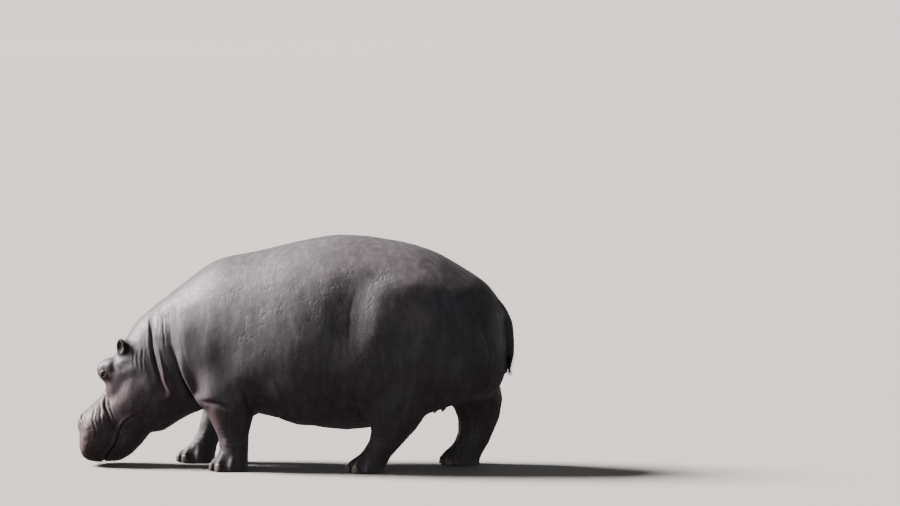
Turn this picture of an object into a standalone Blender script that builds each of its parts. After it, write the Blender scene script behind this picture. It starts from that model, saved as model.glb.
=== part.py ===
"""A female hippopotamus standing with her muzzle lowered to the ground, as a still, life-size model.

Metres, +Z up. She faces -X, her left side faces -Y, and she stands on the floor at Z = 0.
The flesh is modelled whole: one loft runs from rump to muzzle, rounded masses stand for muscle, cheek
and lip, and four lofts stand for the legs. They are melted together, creased, and parted with thin
cuts into trunk, neck, head and legs. Ears, tail, eyes and toenails are pieces of their own.
"""

import math

import bmesh
import bpy
from mathutils import Matrix, Vector

# Driving dimensions
FORM_GRAIN = 0.014  # voxel that melts the masses together
GAP = 0.0008  # thin cut between neighbouring pieces
RING_SIDES = 36
RING_STEP = 0.05
TRIANGLES = {"trunk": 1500, "head": 2050, "feet": 620}
EYE_RADIUS = 0.021
SOCKET_RADIUS = 0.023
SHARP_ANGLE = math.radians(50)

SKIN_COLOUR = (0.16, 0.13, 0.125, 1.0)
EAR_COLOUR = (0.13, 0.095, 0.09, 1.0)
NAIL_COLOUR = (0.06, 0.05, 0.045, 1.0)
EYE_COLOUR = (0.03, 0.015, 0.01, 1.0)

# The loft from rump to muzzle. Each section is an oval across the body: its centre (x, z) at the
# widest level, how far its plane leans (degrees that the body points below level there), its height
# above and depth below the centre, its half width, and how square it is (2 is an ellipse).
SECTIONS = (
    # x, z, lean, above, below, half width, squareness
    (1.380, 0.800, 0, 0.100, 0.130, 0.070, 2.0),
    (1.348, 0.800, 0, 0.245, 0.250, 0.200, 2.0),
    (1.250, 0.790, 0, 0.400, 0.345, 0.340, 2.1),
    (1.090, 0.770, 0, 0.525, 0.350, 0.420, 2.3),
    (0.860, 0.740, 0, 0.677, 0.345, 0.485, 2.4),
    (0.580, 0.720, 0, 0.762, 0.440, 0.525, 2.3),
    (0.300, 0.710, 0, 0.798, 0.460, 0.540, 2.15),
    (0.020, 0.720, 0, 0.742, 0.425, 0.525, 2.15),
    (-0.240, 0.740, 0, 0.658, 0.390, 0.475, 2.1),
    (-0.460, 0.760, 3, 0.588, 0.385, 0.420, 2.1),
    (-0.620, 0.745, 10, 0.468, 0.370, 0.365, 2.1),
    (-0.770, 0.700, 17, 0.380, 0.375, 0.302, 2.1),
    (-0.895, 0.615, 23, 0.345, 0.355, 0.245, 2.1),
    (-0.985, 0.510, 29, 0.290, 0.315, 0.215, 2.2),
    (-1.050, 0.430, 34, 0.220, 0.260, 0.180, 2.2),
    (-1.090, 0.380, 37, 0.110, 0.110, 0.100, 2.0),
)

# The head's own directions: forward along its brow to the nose, and down towards the throat.
OCCIPUT = Vector((-1.02, 0.0, 0.90))
HEAD_PITCH = math.radians(58)
HEAD_FORWARD = Vector((-math.cos(HEAD_PITCH), 0, -math.sin(HEAD_PITCH)))
HEAD_DOWN = Vector((math.sin(HEAD_PITCH), 0, -math.cos(HEAD_PITCH)))


def on_head(forward, side, down):
    """A point given by how far it lies before the occiput, beside the midline and below the brow line."""
    return OCCIPUT + HEAD_FORWARD * forward + HEAD_DOWN * down + Vector((0, side, 0))


# Lofts in head coordinates: forward, down to the centre, height above, depth below, half width,
# squareness. The skull and upper lip, and below them the lower jaw.
UPPER_HEAD = (
    (-0.080, 0.240, 0.100, 0.100, 0.110, 2.0),
    (0.010, 0.220, 0.215, 0.200, 0.175, 2.2),
    (0.110, 0.210, 0.225, 0.250, 0.188, 2.3),
    (0.230, 0.200, 0.232, 0.250, 0.186, 2.3),
    (0.310, 0.190, 0.228, 0.240, 0.176, 2.3),
    (0.365, 0.185, 0.190, 0.220, 0.164, 2.4),
    (0.410, 0.180, 0.158, 0.200, 0.150, 2.4),
    (0.475, 0.170, 0.134, 0.170, 0.142, 2.4),
    (0.540, 0.160, 0.134, 0.150, 0.160, 2.6),
    (0.600, 0.150, 0.142, 0.140, 0.192, 2.9),
    (0.670, 0.147, 0.138, 0.140, 0.213, 3.2),
    (0.735, 0.155, 0.121, 0.130, 0.216, 3.2),
    (0.790, 0.165, 0.107, 0.118, 0.210, 3.1),
    (0.840, 0.168, 0.082, 0.100, 0.188, 2.9),
    (0.880, 0.170, 0.058, 0.072, 0.146, 2.6),
    (0.902, 0.170, 0.026, 0.034, 0.072, 2.0),
)
LOWER_JAW = (
    (0.080, 0.420, 0.060, 0.060, 0.080, 2.0),
    (0.180, 0.390, 0.140, 0.170, 0.180, 2.3),
    (0.300, 0.370, 0.150, 0.185, 0.212, 2.4),
    (0.400, 0.340, 0.130, 0.160, 0.207, 2.4),
    (0.500, 0.310, 0.110, 0.124, 0.190, 2.5),
    (0.600, 0.300, 0.090, 0.120, 0.184, 2.7),
    (0.680, 0.295, 0.080, 0.112, 0.186, 2.8),
    (0.755, 0.285, 0.070, 0.096, 0.176, 2.8),
    (0.815, 0.270, 0.055, 0.070, 0.142, 2.4),
    (0.845, 0.258, 0.025, 0.035, 0.070, 2.0),
)

# Rounded masses on both sides of the head: (name, forward, side, down), half sizes along
# forward, side and down.
HEAD_MASSES = (
    ("tusk_bulge", (0.670, 0.140, 0.140), (0.120, 0.090, 0.110)),
    ("nostril_mound", (0.690, 0.080, 0.046), (0.085, 0.058, 0.054)),
    ("jaw_side", (0.465, 0.115, 0.255), (0.200, 0.088, 0.145)),
    ("cheek", (0.315, 0.134, 0.305), (0.205, 0.114, 0.200)),
    ("cheek_bone", (0.300, 0.108, 0.120), (0.170, 0.087, 0.125)),
    ("orbit", (0.328, 0.112, -0.004), (0.078, 0.062, 0.080)),
    ("poll", (0.140, 0.070, 0.060), (0.140, 0.120, 0.085)),
)

# Rounded masses on both sides of the body: centre, half sizes, lean about Y in degrees.
BODY_MASSES = (
    ("shoulder", (-0.410, 0.255, 0.720), (0.230, 0.185, 0.430), -8),
    ("upper_arm", (-0.380, 0.300, 0.470), (0.180, 0.145, 0.200), 0),
    ("haunch", (0.840, 0.275, 0.780), (0.360, 0.230, 0.420), 8),
    ("thigh", (0.960, 0.260, 0.670), (0.260, 0.205, 0.270), 0),
    ("ribs", (0.160, 0.265, 0.740), (0.500, 0.280, 0.460), 0),
)

# Legs, from inside the body down to the sole: height, x, distance from the midline, half length
# and half width of the section.
FRONT_LEFT = (
    (0.620, -0.380, 0.310, 0.190, 0.150),
    (0.430, -0.370, 0.315, 0.170, 0.140),
    (0.310, -0.365, 0.305, 0.132, 0.115),
    (0.220, -0.355, 0.290, 0.104, 0.104),
    (0.140, -0.352, 0.280, 0.092, 0.098),
    (0.085, -0.362, 0.280, 0.098, 0.104),
    (0.035, -0.376, 0.280, 0.114, 0.118),
    (-0.050, -0.378, 0.280, 0.116, 0.120),
)
FRONT_RIGHT = (
    (0.640, -0.430, 0.310, 0.190, 0.150),
    (0.450, -0.480, 0.315, 0.165, 0.140),
    (0.330, -0.530, 0.305, 0.125, 0.115),
    (0.230, -0.580, 0.290, 0.096, 0.100),
    (0.150, -0.620, 0.280, 0.086, 0.094),
    (0.085, -0.655, 0.280, 0.096, 0.102),
    (0.035, -0.680, 0.280, 0.114, 0.118),
    (-0.050, -0.684, 0.280, 0.116, 0.120),
)
HIND_LEFT = (
    (0.640, 0.800, 0.320, 0.270, 0.170),
    (0.450, 0.715, 0.330, 0.195, 0.160),
    (0.330, 0.700, 0.325, 0.165, 0.135),
    (0.230, 0.655, 0.315, 0.130, 0.112),
    (0.150, 0.595, 0.305, 0.108, 0.100),
    (0.090, 0.545, 0.300, 0.104, 0.104),
    (0.040, 0.510, 0.300, 0.116, 0.118),
    (-0.050, 0.505, 0.300, 0.118, 0.120),
)
HIND_RIGHT = (
    (0.640, 1.040, 0.270, 0.240, 0.170),
    (0.450, 1.140, 0.295, 0.180, 0.155),
    (0.340, 1.160, 0.310, 0.150, 0.135),
    (0.250, 1.155, 0.310, 0.126, 0.112),
    (0.170, 1.130, 0.305, 0.116, 0.102),
    (0.100, 1.086, 0.300, 0.118, 0.104),
    (0.040, 1.045, 0.300, 0.126, 0.118),
    (-0.050, 1.040, 0.300, 0.128, 0.120),
)
LEGS = {
    "leg_front_left": (-1, FRONT_LEFT),
    "leg_front_right": (1, FRONT_RIGHT),
    "leg_hind_left": (-1, HIND_LEFT),
    "leg_hind_right": (1, HIND_RIGHT),
}
TOE_ANGLES = (-58, -20, 20, 58)  # degrees from straight ahead
TOE_SIZE = (0.056, 0.038, 0.044)  # half length, half width, half height
TOE_REACH = 0.082  # from the middle of the foot to the middle of a toe
NAIL_SIZE = (0.017, 0.027, 0.026)
NAIL_REACH = 0.123  # from the middle of the foot to the middle of a nail
NAIL_HEIGHT = 0.030

TAIL_PATH = (
    # x, z, half thickness fore and aft, half width
    (1.240, 1.100, 0.045, 0.050),
    (1.330, 1.035, 0.040, 0.045),
    (1.374, 0.960, 0.031, 0.036),
    (1.394, 0.870, 0.024, 0.029),
    (1.403, 0.780, 0.018, 0.024),
    (1.400, 0.700, 0.014, 0.022),
    (1.393, 0.640, 0.010, 0.019),
)

EAR_BASE = (0.190, 0.135, 0.025)  # head coordinates
EAR_RISE = (0.02, 0.42, 0.90)  # the direction it stands in, for the ear on the right
EAR_OPENING = (-0.62, 0.78, 0.0)  # the side its cup faces
EAR_SIZE = (0.025, 0.046, 0.068)  # half thickness, half width, half length
EAR_CUP = (0.022, 0.034, 0.046)
EYE_PLACE = (0.352, 0.157, -0.006)  # head coordinates

# Where the body is parted: the neck's two cuts run from a point on the crest to one on the throat
# (x, z each), and each leg leaves the trunk inside a rounded block (centre, half sizes, lean).
NECK_CUTS = {"head": ((-0.97, 1.00), (-0.72, 0.32)), "neck": ((-0.74, 1.19), (-0.60, 0.36))}
LEG_BLOCKS = {
    "leg_front_left": ((-0.380, -0.350, 0.220), (0.245, 0.250, 0.450), 0),
    "leg_front_right": ((-0.560, 0.350, 0.260), (0.235, 0.250, 0.460), 22),
    "leg_hind_left": ((0.670, -0.345, 0.320), (0.300, 0.270, 0.490), 23),
    "leg_hind_right": ((1.080, 0.325, 0.290), (0.280, 0.270, 0.460), 0),
}


def material(name, colour, roughness):
    made = bpy.data.materials.new(name)
    made.use_nodes = True
    shader = made.node_tree.nodes["Principled BSDF"]
    shader.inputs["Base Color"].default_value = colour
    shader.inputs["Roughness"].default_value = roughness
    shader.inputs["Metallic"].default_value = 0.0
    return made


def smooth_rows(rows, step):
    """Rows of numbers on one smooth curve through the given rows, about step apart in the first two."""
    padded = [rows[0], *rows, rows[-1]]
    made = []
    for a, b, c, d in zip(padded, padded[1:], padded[2:], padded[3:]):
        count = max(1, round(math.hypot(c[0] - b[0], c[1] - b[1]) / step))
        for k in range(count):
            t = k / count
            made.append(
                tuple(
                    0.5 * (2 * q + (r - p) * t + (2 * p - 5 * q + 4 * r - s) * t**2
                           + (3 * q - p - 3 * r + s) * t**3)
                    for p, q, r, s in zip(a, b, c, d)
                )
            )
    return [*made, tuple(rows[-1])]


def signed_power(value, power):
    return math.copysign(abs(value) ** power, value)


def oval(centre, across, up, half_width, above, below, squareness):
    """The corners of one oval section that lies in the plane of across and up."""
    corners = []
    for k in range(RING_SIDES):
        turn = 2 * math.pi * k / RING_SIDES
        side = signed_power(math.cos(turn), 2 / squareness) * half_width
        rise = signed_power(math.sin(turn), 2 / squareness) * (above if math.sin(turn) > 0 else below)
        corners.append(centre + across * side + up * rise)
    return corners


def loft(name, rings):
    """A closed body through rings that have the same number of corners."""
    bm = bmesh.new()
    loops = []
    for ring in rings:
        corners = [bm.verts.new(p) for p in ring]
        loops.append([bm.edges.new((corners[i - 1], corners[i])) for i in range(len(corners))])
    for first, second in zip(loops, loops[1:]):
        bmesh.ops.bridge_loops(bm, edges=first + second)
    bmesh.ops.holes_fill(bm, edges=loops[0] + loops[-1], sides=0)
    bmesh.ops.recalc_face_normals(bm, faces=bm.faces)
    return finish_mesh(name, bm)


def finish_mesh(name, bm):
    mesh = bpy.data.meshes.new(name)
    bm.to_mesh(mesh)
    bm.free()
    made = bpy.data.objects.new(name, mesh)
    bpy.context.scene.collection.objects.link(made)
    return made


def ball(name, centre, sizes, turned=None, rounds=3, squareness=2):
    """A rounded body with half sizes along the axes that turned gives; squareness 2 is an ellipsoid."""
    bm = bmesh.new()
    bmesh.ops.create_icosphere(bm, subdivisions=rounds, radius=1.0)
    place = Matrix.Translation(centre)
    if turned is not None:
        place = place @ turned.to_4x4()
    place = place @ Matrix.Diagonal((*sizes, 1.0))
    for vertex in bm.verts:
        reach = sum(abs(part) ** squareness for part in vertex.co) ** (1 / squareness)
        vertex.co = place @ (vertex.co / reach)
    return finish_mesh(name, bm)


def block(name, low, high):
    bm = bmesh.new()
    size = Vector(high) - Vector(low)
    place = Matrix.Translation((Vector(low) + Vector(high)) / 2) @ Matrix.Diagonal((*size, 1.0))
    bmesh.ops.create_cube(bm, size=1.0, matrix=place)
    return finish_mesh(name, bm)


def settle(obj):
    """Makes the object's modifiers part of its mesh."""
    graph = bpy.context.evaluated_depsgraph_get()
    mesh = bpy.data.meshes.new_from_object(obj.evaluated_get(graph))
    obj.modifiers.clear()
    old, obj.data = obj.data, mesh
    bpy.data.meshes.remove(old)
    return obj


def join(name, objects):
    """One object that holds all the meshes, still as separate shells."""
    bm = bmesh.new()
    for obj in objects:
        obj.data.transform(obj.matrix_world)
        bm.from_mesh(obj.data)
        bpy.data.objects.remove(obj)
    return finish_mesh(name, bm)


def modify(obj, kind, **settings):
    modifier = obj.modifiers.new(kind.title(), kind)
    for key, value in settings.items():
        setattr(modifier, key, value)
    return modifier


def cut(obj, tool, operation="DIFFERENCE"):
    modify(obj, "BOOLEAN", object=tool, operation=operation, solver="EXACT")
    return settle(obj)


def copy_of(obj, name):
    made = bpy.data.objects.new(name, obj.data.copy())
    bpy.context.scene.collection.objects.link(made)
    return made


# ---------------------------------------------------------------- the flesh, whole


def body_loft():
    rings = []
    for x, z, lean, above, below, half_width, squareness in smooth_rows(SECTIONS, RING_STEP):
        tilt = math.radians(lean)
        up = Vector((-math.sin(tilt), 0, math.cos(tilt)))
        rings.append(
            oval(Vector((x, 0, z)), Vector((0, 1, 0)), up, half_width, above, below, squareness)
        )
    return loft("core", rings)


def head_loft(name, rows):
    rings = []
    for forward, down, above, below, half_width, squareness in smooth_rows(rows, 0.025):
        centre = on_head(forward, 0, down)
        rings.append(
            oval(centre, Vector((0, 1, 0)), -HEAD_DOWN, half_width, above, below, squareness)
        )
    return loft(name, rings)


def head_masses():
    axes = Matrix((HEAD_FORWARD, (0, 1, 0), HEAD_DOWN)).transposed()
    return [head_loft("upper_head", UPPER_HEAD), head_loft("lower_jaw", LOWER_JAW)] + [
        ball(name, on_head(forward, side * mirror, down), sizes, axes)
        for name, (forward, side, down), sizes in HEAD_MASSES
        for mirror in (-1, 1)
    ]


def body_masses():
    made = []
    for name, (x, y, z), sizes, lean in BODY_MASSES:
        turned = Matrix.Rotation(math.radians(lean), 3, "Y")
        made += [ball(name, Vector((x, y * side, z)), sizes, turned) for side in (-1, 1)]
    return made


def leg_loft(name, side, rows):
    rings = []
    for height, x, out, half_length, half_width in smooth_rows(rows, 0.03):
        centre = Vector((x, out * side, height))
        rings.append(
            oval(centre, Vector((1, 0, 0)), Vector((0, 1, 0)), half_length, half_width, half_width, 2.2)
        )
    return loft(name, rings)


def toe_frames(side, rows):
    """The place and direction of each toe of a foot, from its outer to its inner side."""
    sole_x, out = rows[-2][1], rows[-2][2]
    for angle in TOE_ANGLES:
        ahead = Vector((-math.cos(math.radians(angle)), side * math.sin(math.radians(angle)), 0))
        yield Vector((sole_x, out * side, 0)), ahead


def toes(side, rows):
    made = []
    for foot, ahead in toe_frames(side, rows):
        across = Vector((0, 0, 1)).cross(ahead)
        axes = Matrix((ahead, across, (0, 0, 1))).transposed()
        centre = foot + ahead * TOE_REACH + Vector((0, 0, TOE_SIZE[2] * 0.75))
        made.append(ball("toe", centre, TOE_SIZE, axes))
    return made


def udder():
    made = [ball("udder", Vector((0.93, 0, 0.45)), (0.13, 0.12, 0.065))]
    for side in (-1, 1):
        made.append(ball("teat", Vector((0.925, 0.045 * side, 0.388)), (0.024, 0.022, 0.034)))
    return made


def whole_flesh():
    shells = [body_loft(), *head_masses(), *body_masses(), *udder()]
    for name, (side, rows) in LEGS.items():
        shells.append(leg_loft(name, side, rows))
        shells += toes(side, rows)
    whole = join("flesh", shells)
    modify(whole, "REMESH", mode="VOXEL", voxel_size=FORM_GRAIN, adaptivity=0.0)
    settle(whole)
    soften(whole)
    thin_out(whole)
    below_floor = block("below_floor", (-3, -2, -1), (3, 2, 0))
    cut(whole, below_floor)
    bpy.data.objects.remove(below_floor)
    return whole


def head_share(point):
    return min(1, max(0, (-0.86 - point.x) / 0.12))


def feet_share(point):
    return min(1, max(0, (0.20 - point.z) / 0.06))


def soften(whole):
    """Smooths the joins between the masses, hard on the trunk and lightly on head and feet."""
    fine = whole.vertex_groups.new(name="fine")
    coarse = whole.vertex_groups.new(name="coarse")
    for vertex in whole.data.vertices:
        share = max(head_share(vertex.co), feet_share(vertex.co))
        fine.add([vertex.index], share, "REPLACE")
        coarse.add([vertex.index], 1 - share, "REPLACE")
    modify(whole, "SMOOTH", factor=0.5, iterations=90, vertex_group="coarse")
    modify(whole, "SMOOTH", factor=0.5, iterations=16, vertex_group="fine")
    settle(whole)


def region(point):
    if head_share(point) > 0.5:
        return "head"
    return "feet" if feet_share(point) > 0.5 else "trunk"


def thin_out(whole):
    """Fewer faces, one region after the other, each down to its own number."""
    for name, target in TRIANGLES.items():
        whole.vertex_groups.clear()
        chosen = {v.index for v in whole.data.vertices if region(v.co) == name}
        whole.vertex_groups.new(name="thinned").add(list(chosen), 1.0, "REPLACE")
        counts = [(len(p.vertices) - 2, p.vertices[0] in chosen) for p in whole.data.polygons]
        total = sum(count for count, _ in counts)
        thinned = sum(count for count, here in counts if here)
        modify(
            whole, "DECIMATE", decimate_type="COLLAPSE", vertex_group="thinned",
            ratio=(total - thinned + target) / total, use_collapse_triangulate=True,
        )
        settle(whole)
    whole.vertex_groups.clear()


# ---------------------------------------------------------------- parting it


def grown(obj, name):
    """A copy whose surface lies GAP further out, to cut neighbours with."""
    made = copy_of(obj, name)
    modify(made, "DISPLACE", strength=GAP, mid_level=0.0)
    return settle(made)


def leg_block(name, extra):
    centre, sizes, lean = LEG_BLOCKS[name]
    turned = Matrix.Rotation(math.radians(lean), 3, "Y")
    return ball("block", Vector(centre), [s + extra for s in sizes], turned, rounds=2, squareness=3)


def part_legs(whole):
    for name in LEGS:
        leg = copy_of(whole, name)
        inner = leg_block(name, 0)
        cut(leg, inner, "INTERSECT")
        bpy.data.objects.remove(inner)
        outer = leg_block(name, GAP)
        cut(whole, outer)
        bpy.data.objects.remove(outer)


def neck_slab(crest, throat):
    """A thin upright sheet through the neck, from beyond the crest to beyond the throat."""
    crest, throat = Vector((crest[0], 0, crest[1])), Vector((throat[0], 0, throat[1]))
    down = (throat - crest).normalized()
    axes = Matrix((down, (0, 1, 0), down.cross(Vector((0, 1, 0))))).transposed()
    place = Matrix.Translation((crest + throat) / 2) @ axes.to_4x4()
    slab = block("slab", ((-(throat - crest).length * 0.7), -1, -GAP / 2),
                 ((throat - crest).length * 0.7, 1, GAP / 2))
    slab.data.transform(place)
    return slab


def islands(mesh):
    """The separate shells of a mesh, each as a set of vertex numbers."""
    bm = bmesh.new()
    bm.from_mesh(mesh)
    left = set(bm.verts)
    found = []
    while left:
        front = [left.pop()]
        shell = set(front)
        while front:
            for edge in front.pop().link_edges:
                for vertex in edge.verts:
                    if vertex in left:
                        left.remove(vertex)
                        shell.add(vertex)
                        front.append(vertex)
        found.append({v.index for v in shell})
    bm.free()
    return found


def part_neck(whole):
    for crest, throat in NECK_CUTS.values():
        slab = neck_slab(crest, throat)
        cut(whole, slab)
        bpy.data.objects.remove(slab)
    shells = islands(whole.data)
    if len(shells) != 3:
        raise ValueError(f"the neck cuts left {len(shells)} pieces")
    shells.sort(key=lambda shell: min(whole.data.vertices[i].co.x for i in shell))
    for name, shell in zip(("head", "neck", "trunk"), shells):
        piece = copy_of(whole, name)
        bm = bmesh.new()
        bm.from_mesh(piece.data)
        bmesh.ops.delete(bm, geom=[v for v in bm.verts if v.index not in shell], context="VERTS")
        bm.to_mesh(piece.data)
        bm.free()
    bpy.data.objects.remove(whole)


# ---------------------------------------------------------------- ears, eyes, tail, nails


def mirrored(direction, side):
    return Vector((direction[0], direction[1] * side, direction[2]))


def ear(name, side, head_cutter):
    rise = mirrored(EAR_RISE, side).normalized()
    opening = mirrored(EAR_OPENING, side)
    opening = (opening - rise * opening.dot(rise)).normalized()
    axes = Matrix((opening, rise.cross(opening), rise)).transposed()
    forward, out, down = EAR_BASE
    base = on_head(forward, out * side, down)
    made = ball(name, base + rise * EAR_SIZE[2] * 0.72, EAR_SIZE, axes)
    cup = ball("cup", base + rise * EAR_SIZE[2] + opening * EAR_CUP[0], EAR_CUP, axes, rounds=2)
    cut(made, cup)
    bpy.data.objects.remove(cup)
    return cut(made, head_cutter)


def eye(name, side, head):
    forward, out, down = EYE_PLACE
    centre = on_head(forward, out * side, down)
    socket = ball("socket", centre, [SOCKET_RADIUS] * 3, rounds=2)
    cut(head, socket)
    bpy.data.objects.remove(socket)
    return ball(name, centre, [EYE_RADIUS] * 3)


def tail(trunk_cutter):
    rows = smooth_rows(TAIL_PATH, 0.05)
    rings = []
    for before, (x, z, thick, half_width), after in zip([rows[0], *rows], rows, [*rows[1:], rows[-1]]):
        along = Vector((after[0] - before[0], 0, after[1] - before[1])).normalized()
        back = Vector((-along.z, 0, along.x))
        corners = []
        for k in range(12):
            turn = math.pi * k / 6
            corners.append(
                Vector((x, 0, z)) + Vector((0, half_width * math.cos(turn), 0))
                + back * thick * math.sin(turn)
            )
        rings.append(corners)
    return cut(loft("tail", rings), trunk_cutter)


def nails(leg_name, side, rows):
    leg_cutter = grown(bpy.data.objects[leg_name], "leg_cutter")
    for number, (foot, ahead) in enumerate(toe_frames(side, rows), 1):
        axes = Matrix((ahead, Vector((0, 0, 1)).cross(ahead), (0, 0, 1))).transposed()
        centre = foot + ahead * NAIL_REACH + Vector((0, 0, NAIL_HEIGHT))
        name = leg_name.replace("leg", "nail") + f"_{number}"
        cut(ball(name, centre, NAIL_SIZE, axes, rounds=2), leg_cutter)
    bpy.data.objects.remove(leg_cutter)


def finish(objects):
    """Sets the model's middle over the origin and gives every piece its material."""
    skin = material("hippopotamus_skin", SKIN_COLOUR, 0.6)
    ear_skin = material("ear_skin", EAR_COLOUR, 0.65)
    horn = material("nail_horn", NAIL_COLOUR, 0.45)
    wet_eye = material("eye", EYE_COLOUR, 0.08)
    looks = {"ear": ear_skin, "nail": horn, "eye": wet_eye}
    xs = [v.co.x for obj in objects for v in obj.data.vertices]
    shift = Matrix.Translation((-(min(xs) + max(xs)) / 2, 0, 0))
    for obj in objects:
        obj.data.transform(shift)
        obj.data.shade_smooth()
        obj.data.set_sharp_from_angle(angle=SHARP_ANGLE)
        obj.data.materials.clear()
        obj.data.materials.append(looks.get(obj.name.split("_")[0], skin))


def main():
    for obj in list(bpy.data.objects):
        bpy.data.objects.remove(obj)
    whole = whole_flesh()
    part_legs(whole)
    part_neck(whole)
    head, trunk = bpy.data.objects["head"], bpy.data.objects["trunk"]
    head_cutter, trunk_cutter = grown(head, "head_cutter"), grown(trunk, "trunk_cutter")
    for side, hand in ((-1, "left"), (1, "right")):
        ear(f"ear_{hand}", side, head_cutter)
        eye(f"eye_{hand}", side, head)
    tail(trunk_cutter)
    bpy.data.objects.remove(head_cutter)
    bpy.data.objects.remove(trunk_cutter)
    for name, (side, rows) in LEGS.items():
        nails(name, side, rows)
    finish(list(bpy.data.objects))


main()
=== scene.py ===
"""A hippopotamus cow with her muzzle lowered to the ground, dressed as a life-size museum model.

Metres, +Z up. She faces -X and her left side faces -Y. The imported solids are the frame: one
wrinkled skin stands for all the nodes of flesh, and finer eyes, nails and bristles go with it.
"""

import math

import bmesh
import bpy
import numpy as np
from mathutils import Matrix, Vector, noise


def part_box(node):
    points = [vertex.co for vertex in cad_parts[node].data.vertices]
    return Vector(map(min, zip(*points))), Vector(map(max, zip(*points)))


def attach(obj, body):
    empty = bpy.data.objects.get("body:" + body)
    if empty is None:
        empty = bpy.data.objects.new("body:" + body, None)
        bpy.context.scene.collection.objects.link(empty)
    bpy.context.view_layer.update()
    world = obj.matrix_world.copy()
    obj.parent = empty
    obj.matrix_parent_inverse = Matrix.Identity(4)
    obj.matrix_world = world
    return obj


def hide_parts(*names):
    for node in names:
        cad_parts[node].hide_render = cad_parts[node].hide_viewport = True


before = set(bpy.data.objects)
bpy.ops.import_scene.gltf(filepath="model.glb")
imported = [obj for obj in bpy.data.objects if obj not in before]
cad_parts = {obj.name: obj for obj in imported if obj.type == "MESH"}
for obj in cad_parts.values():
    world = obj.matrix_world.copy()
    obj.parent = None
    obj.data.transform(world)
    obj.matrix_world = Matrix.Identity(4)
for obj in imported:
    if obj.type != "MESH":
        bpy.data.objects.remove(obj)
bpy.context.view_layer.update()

bpy.ops.object.select_all(action="DESELECT")

# Driving dimensions
FLESH = (
    "trunk", "neck", "head", "tail", "ear_left", "ear_right",
    "leg_front_left", "leg_front_right", "leg_hind_left", "leg_hind_right",
)
SWELL = 0.0012  # closes the thin cuts between the solids
SKIN_GRAIN = 0.0066  # edge of the skin's faces before its features are divided
SKIN_FACES = 192000
SMOOTHING = {"fine": 16, "coarse": 90, "barrel": 420}  # rounds for each part of the skin
EYE_RADIUS = 0.0205
CORNEA_RISE = 0.05  # of the eye's radius
NAIL_HALF_WIDTH = 0.0262
NAIL_HALF_THICKNESS = 0.0125
TEATS = ((0.905, 0.050), (0.958, 0.056))  # each pair's x and its distance from the midline
TEAT_LENGTH = 0.017
TEAT_RADIUS = 0.0085
PATCH_RADIUS = 0.0015  # of a bristle's patch on the OFBake map
# steps whose multiples spread evenly between whole numbers and never repeat
EVEN_STEPS = (0.6180339887, 0.7548776662, 0.5698402909, 0.3819660113, 0.8191725134)

STUDIO_RADIUS = 400
CAMERA_DISTANCE = 30.0
CAMERA_TURN = math.radians(6)  # towards her tail
CAMERA_RISE = math.radians(3)
CAMERA_AIM = (1.0, 1.3806, -0.007)  # across the view, up the view, and along her length

# The head's own directions: forward along its brow to the nose, and down towards the throat.
HEAD_PITCH = math.radians(58)
HEAD_FORWARD = Vector((-math.cos(HEAD_PITCH), 0, -math.sin(HEAD_PITCH)))
HEAD_DOWN = Vector((math.sin(HEAD_PITCH), 0, -math.cos(HEAD_PITCH)))
EYE_PLACE = (0.352, 0.157, -0.006)  # head coordinates: forward, side, down


def middle(node):
    low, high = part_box(node)
    return (low + high) / 2


EYES = {-1: middle("eye_left"), 1: middle("eye_right")}
OCCIPUT = Vector((EYES[1].x, 0, EYES[1].z)) - HEAD_FORWARD * EYE_PLACE[0] - HEAD_DOWN * EYE_PLACE[2]


def on_head(forward, side, down):
    """A point so far before the occiput, beside the midline and below the line of the brow."""
    return OCCIPUT + HEAD_FORWARD * forward + HEAD_DOWN * down + Vector((0, side, 0))


# ---------------------------------------------------------------- shaping in arrays of points


def ease(value, low, high):
    """0 below low, 1 above high, smooth between; low may be the larger one."""
    t = np.clip((value - low) / (high - low), 0, 1)
    return t * t * (3 - 2 * t)


def bell(value, width):
    return np.exp(-((value / width) ** 2))


def curve_through(points, step):
    """Points about step apart on one smooth curve through the given ones."""
    padded = [points[0], *points, points[-1]]
    made = []
    for a, b, c, d in zip(padded, padded[1:], padded[2:], padded[3:]):
        count = max(1, round(math.dist(b, c) / step))
        for k in range(count):
            t = k / count
            made.append([
                0.5 * (2 * q + (r - p) * t + (2 * p - 5 * q + 4 * r - s) * t**2
                       + (3 * q - p - 3 * r + s) * t**3)
                for p, q, r, s in zip(a, b, c, d)
            ])
    return np.array([*made, points[-1]], float)


def beside_path(places, path):
    """For places in a plane: how far each is to the left of a path, and its share of the way."""
    best = np.full(len(places), 1e9)
    signed = np.zeros(len(places))
    along = np.zeros(len(places))
    lengths = np.linalg.norm(np.diff(path, axis=0), axis=1)
    total, done = lengths.sum(), 0.0
    for start, end, length in zip(path, path[1:], lengths):
        run = (end - start) / length
        offset = places - start
        t = np.clip(offset @ run, 0, length)
        gap = offset - t[:, None] * run
        distance = np.hypot(gap[:, 0], gap[:, 1])
        closer = distance < best
        side = np.sign(run[0] * offset[:, 1] - run[1] * offset[:, 0])
        best = np.where(closer, distance, best)
        signed = np.where(closer, distance * side, signed)
        along = np.where(closer, (done + t) / total, along)
        done += length
    return signed, along


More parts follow.
